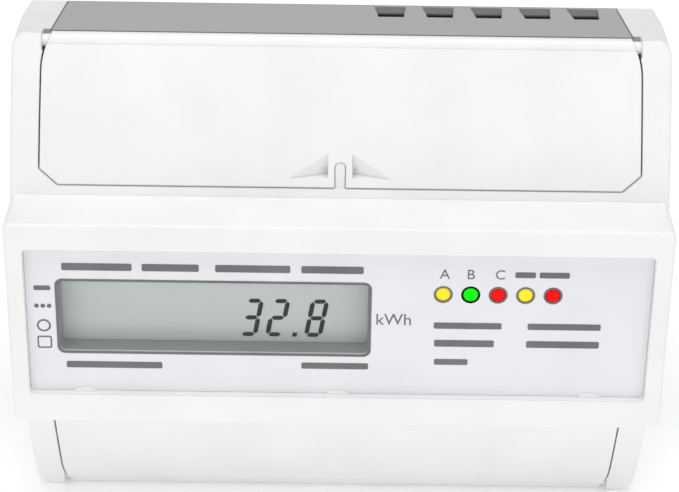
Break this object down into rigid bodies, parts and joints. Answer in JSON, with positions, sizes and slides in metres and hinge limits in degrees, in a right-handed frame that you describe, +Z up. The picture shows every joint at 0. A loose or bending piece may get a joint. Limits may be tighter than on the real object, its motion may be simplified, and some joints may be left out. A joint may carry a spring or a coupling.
{
  "type": "electric energy meter",
  "caption": "Rail-mounted three-phase electric energy meter with a recessed display and indicator lamps, hinged terminal covers above and below, and spring clips for a mounting rail.",
  "frame": {"origin": "middle of the pad at the rear that rests on the mounting rail", "axes": "+X to the right seen from the front, +Y backwards into the rail, +Z up; the display faces -Y"},
  "size_m": [0.1266, 0.065, 0.1016],
  "materials": {
    "white_housing": "fine satin moulded",
    "grey_base": "fine satin moulded",
    "label": "printed satin film",
    "clear_window": "clear polished",
    "lcd": "grey-green reflective display",
    "black_plastic": "moulded",
    "diffuser": "milky",
    "elastomer": "striped soft",
    "yellow_led": "tinted lens",
    "green_led": "tinted lens",
    "red_led": "tinted lens",
    "circuit_board": "solder-masked laminate",
    "connector_plastic": "moulded",
    "transformer_case": "potted case",
    "capacitor_film": "dipped",
    "capacitor_can": "sleeved can",
    "chip_plastic": "moulded package",
    "copper_bar": "tinned copper bar",
    "brass_contact": "stamped",
    "cage_metal": "zinc plated",
    "screw_steel": "zinc plated",
    "clip_plastic": "moulded",
    "spring_steel": "wire"
  },
  "bodies": {
    "housing": {"aux_contacts": "brass_contact", "aux_terminal_block": "black_plastic", "board_chips": "chip_plastic", "board_link": "connector_plastic", "busbars": "copper_bar", "clip_spring_left": "spring_steel", "clip_spring_right": "spring_steel", "current_transformers": "transformer_case", "display_board": "circuit_board", "display_window": "clear_window", "elastomer_connectors": "elastomer", "electrolytic_capacitors": "capacitor_can", "film_capacitors": "capacitor_film", "front_bezel": "white_housing", "front_shell": "white_housing", "green_led": "green_led", "housing_screws": "screw_steel", "label_panel": "label", "lcd_backlight": "diffuser", "lcd_frame": "black_plastic", "lcd_glass": "lcd", "led_holder": "black_plastic", "lower_wire_plate": "grey_base", "main_board": "circuit_board", "main_terminal_block": "black_plastic", "rear_base": "grey_base", "red_leds": "red_led", "sense_leads": "copper_bar", "upper_wire_plate": "grey_base", "yellow_leds": "yellow_led"},
    "upper_cover": {"upper_cover": "white_housing"},
    "lower_cover": {"lower_cover": "white_housing"},
    "rail_clip_left": {"rail_clip_left": "clip_plastic"},
    "rail_clip_right": {"rail_clip_right": "clip_plastic"},
    "terminal_screw_1": {"terminal_screw_1": "screw_steel"},
    "terminal_cage_1": {"terminal_cage_1": "cage_metal"},
    "terminal_screw_2": {"terminal_screw_2": "screw_steel"},
    "terminal_cage_2": {"terminal_cage_2": "cage_metal"},
    "terminal_screw_3": {"terminal_screw_3": "screw_steel"},
    "terminal_cage_3": {"terminal_cage_3": "cage_metal"},
    "terminal_screw_4": {"terminal_screw_4": "screw_steel"},
    "terminal_cage_4": {"terminal_cage_4": "cage_metal"},
    "terminal_screw_5": {"terminal_screw_5": "screw_steel"},
    "terminal_cage_5": {"terminal_cage_5": "cage_metal"},
    "terminal_screw_6": {"terminal_screw_6": "screw_steel"},
    "terminal_cage_6": {"terminal_cage_6": "cage_metal"},
    "terminal_screw_7": {"terminal_screw_7": "screw_steel"},
    "terminal_cage_7": {"terminal_cage_7": "cage_metal"},
    "terminal_screw_8": {"terminal_screw_8": "screw_steel"},
    "terminal_cage_8": {"terminal_cage_8": "cage_metal"},
    "aux_screw_1": {"aux_screw_1": "screw_steel"},
    "aux_cage_1": {"aux_cage_1": "cage_metal"},
    "aux_screw_2": {"aux_screw_2": "screw_steel"},
    "aux_cage_2": {"aux_cage_2": "cage_metal"},
    "aux_screw_3": {"aux_screw_3": "screw_steel"},
    "aux_cage_3": {"aux_cage_3": "cage_metal"},
    "aux_screw_4": {"aux_screw_4": "screw_steel"},
    "aux_cage_4": {"aux_cage_4": "cage_metal"},
    "aux_screw_5": {"aux_screw_5": "screw_steel"},
    "aux_cage_5": {"aux_cage_5": "cage_metal"}
  },
  "joints": [
    {"name": "upper_cover_hinge", "type": "hinge", "parent": "housing", "child": "upper_cover", "pos_m": [0, -0.0371, 0.04887], "axis": [-1, 0, 0], "range_deg": [0, 110]},
    {"name": "lower_cover_hinge", "type": "hinge", "parent": "housing", "child": "lower_cover", "pos_m": [0, -0.0371, -0.04887], "axis": [1, 0, 0], "range_deg": [0, 110]},
    {"name": "rail_clip_left_slide", "type": "slide", "parent": "housing", "child": "rail_clip_left", "axis": [0, 0, -1], "range_m": [0, 0.004], "stiffness_N_per_m": 2000, "springref_m": -0.002, "deforming": ["clip_spring_left"]},
    {"name": "rail_clip_right_slide", "type": "slide", "parent": "housing", "child": "rail_clip_right", "axis": [0, 0, -1], "range_m": [0, 0.004], "stiffness_N_per_m": 2000, "springref_m": -0.002, "deforming": ["clip_spring_right"]},
    {"name": "terminal_screw_1_turn", "type": "hinge", "parent": "housing", "child": "terminal_screw_1", "pos_m": [-0.0469, -0.03, -0.0345], "axis": [0, 1, 0], "range_deg": [0, 1980]},
    {"name": "terminal_cage_1_slide", "type": "slide", "parent": "housing", "child": "terminal_cage_1", "axis": [0, -1, 0], "range_m": [0, 0.0055]},
    {"name": "terminal_screw_2_turn", "type": "hinge", "parent": "housing", "child": "terminal_screw_2", "pos_m": [-0.0335, -0.03, -0.0345], "axis": [0, 1, 0], "range_deg": [0, 1980]},
    {"name": "terminal_cage_2_slide", "type": "slide", "parent": "housing", "child": "terminal_cage_2", "axis": [0, -1, 0], "range_m": [0, 0.0055]},
    {"name": "terminal_screw_3_turn", "type": "hinge", "parent": "housing", "child": "terminal_screw_3", "pos_m": [-0.0201, -0.03, -0.0345], "axis": [0, 1, 0], "range_deg": [0, 1980]},
    {"name": "terminal_cage_3_slide", "type": "slide", "parent": "housing", "child": "terminal_cage_3", "axis": [0, -1, 0], "range_m": [0, 0.0055]},
    {"name": "terminal_screw_4_turn", "type": "hinge", "parent": "housing", "child": "terminal_screw_4", "pos_m": [-0.0067, -0.03, -0.0345], "axis": [0, 1, 0], "range_deg": [0, 1980]},
    {"name": "terminal_cage_4_slide", "type": "slide", "parent": "housing", "child": "terminal_cage_4", "axis": [0, -1, 0], "range_m": [0, 0.0055]},
    {"name": "terminal_screw_5_turn", "type": "hinge", "parent": "housing", "child": "terminal_screw_5", "pos_m": [0.0067, -0.03, -0.0345], "axis": [0, 1, 0], "range_deg": [0, 1980]},
    {"name": "terminal_cage_5_slide", "type": "slide", "parent": "housing", "child": "terminal_cage_5", "axis": [0, -1, 0], "range_m": [0, 0.0055]},
    {"name": "terminal_screw_6_turn", "type": "hinge", "parent": "housing", "child": "terminal_screw_6", "pos_m": [0.0201, -0.03, -0.0345], "axis": [0, 1, 0], "range_deg": [0, 1980]},
    {"name": "terminal_cage_6_slide", "type": "slide", "parent": "housing", "child": "terminal_cage_6", "axis": [0, -1, 0], "range_m": [0, 0.0055]},
    {"name": "terminal_screw_7_turn", "type": "hinge", "parent": "housing", "child": "terminal_screw_7", "pos_m": [0.0335, -0.03, -0.0345], "axis": [0, 1, 0], "range_deg": [0, 1980]},
    {"name": "terminal_cage_7_slide", "type": "slide", "parent": "housing", "child": "terminal_cage_7", "axis": [0, -1, 0], "range_m": [0, 0.0055]},
    {"name": "terminal_screw_8_turn", "type": "hinge", "parent": "housing", "child": "terminal_screw_8", "pos_m": [0.0469, -0.03, -0.0345], "axis": [0, 1, 0], "range_deg": [0, 1980]},
    {"name": "terminal_cage_8_slide", "type": "slide", "parent": "housing", "child": "terminal_cage_8", "axis": [0, -1, 0], "range_m": [0, 0.0055]},
    {"name": "aux_screw_1_turn", "type": "hinge", "parent": "housing", "child": "aux_screw_1", "pos_m": [0.00965, -0.025, 0.034], "axis": [0, 1, 0], "range_deg": [0, 2160]},
    {"name": "aux_cage_1_slide", "type": "slide", "parent": "housing", "child": "aux_cage_1", "axis": [0, -1, 0], "range_m": [0, 0.003]},
    {"name": "aux_screw_2_turn", "type": "hinge", "parent": "housing", "child": "aux_screw_2", "pos_m": [0.0193, -0.025, 0.034], "axis": [0, 1, 0], "range_deg": [0, 2160]},
    {"name": "aux_cage_2_slide", "type": "slide", "parent": "housing", "child": "aux_cage_2", "axis": [0, -1, 0], "range_m": [0, 0.003]},
    {"name": "aux_screw_3_turn", "type": "hinge", "parent": "housing", "child": "aux_screw_3", "pos_m": [0.02895, -0.025, 0.034], "axis": [0, 1, 0], "range_deg": [0, 2160]},
    {"name": "aux_cage_3_slide", "type": "slide", "parent": "housing", "child": "aux_cage_3", "axis": [0, -1, 0], "range_m": [0, 0.003]},
    {"name": "aux_screw_4_turn", "type": "hinge", "parent": "housing", "child": "aux_screw_4", "pos_m": [0.0386, -0.025, 0.034], "axis": [0, 1, 0], "range_deg": [0, 2160]},
    {"name": "aux_cage_4_slide", "type": "slide", "parent": "housing", "child": "aux_cage_4", "axis": [0, -1, 0], "range_m": [0, 0.003]},
    {"name": "aux_screw_5_turn", "type": "hinge", "parent": "housing", "child": "aux_screw_5", "pos_m": [0.04825, -0.025, 0.034], "axis": [0, 1, 0], "range_deg": [0, 2160]},
    {"name": "aux_cage_5_slide", "type": "slide", "parent": "housing", "child": "aux_cage_5", "axis": [0, -1, 0], "range_m": [0, 0.003]}
  ],
  "couplings": [
    {"joint": "terminal_screw_1_turn", "follows": "terminal_cage_1_slide", "rad_per_m": 6283.2},
    {"joint": "terminal_screw_2_turn", "follows": "terminal_cage_2_slide", "rad_per_m": 6283.2},
    {"joint": "terminal_screw_3_turn", "follows": "terminal_cage_3_slide", "rad_per_m": 6283.2},
    {"joint": "terminal_screw_4_turn", "follows": "terminal_cage_4_slide", "rad_per_m": 6283.2},
    {"joint": "terminal_screw_5_turn", "follows": "terminal_cage_5_slide", "rad_per_m": 6283.2},
    {"joint": "terminal_screw_6_turn", "follows": "terminal_cage_6_slide", "rad_per_m": 6283.2},
    {"joint": "terminal_screw_7_turn", "follows": "terminal_cage_7_slide", "rad_per_m": 6283.2},
    {"joint": "terminal_screw_8_turn", "follows": "terminal_cage_8_slide", "rad_per_m": 6283.2},
    {"joint": "aux_screw_1_turn", "follows": "aux_cage_1_slide", "rad_per_m": 12566},
    {"joint": "aux_screw_2_turn", "follows": "aux_cage_2_slide", "rad_per_m": 12566},
    {"joint": "aux_screw_3_turn", "follows": "aux_cage_3_slide", "rad_per_m": 12566},
    {"joint": "aux_screw_4_turn", "follows": "aux_cage_4_slide", "rad_per_m": 12566},
    {"joint": "aux_screw_5_turn", "follows": "aux_cage_5_slide", "rad_per_m": 12566}
  ]
}
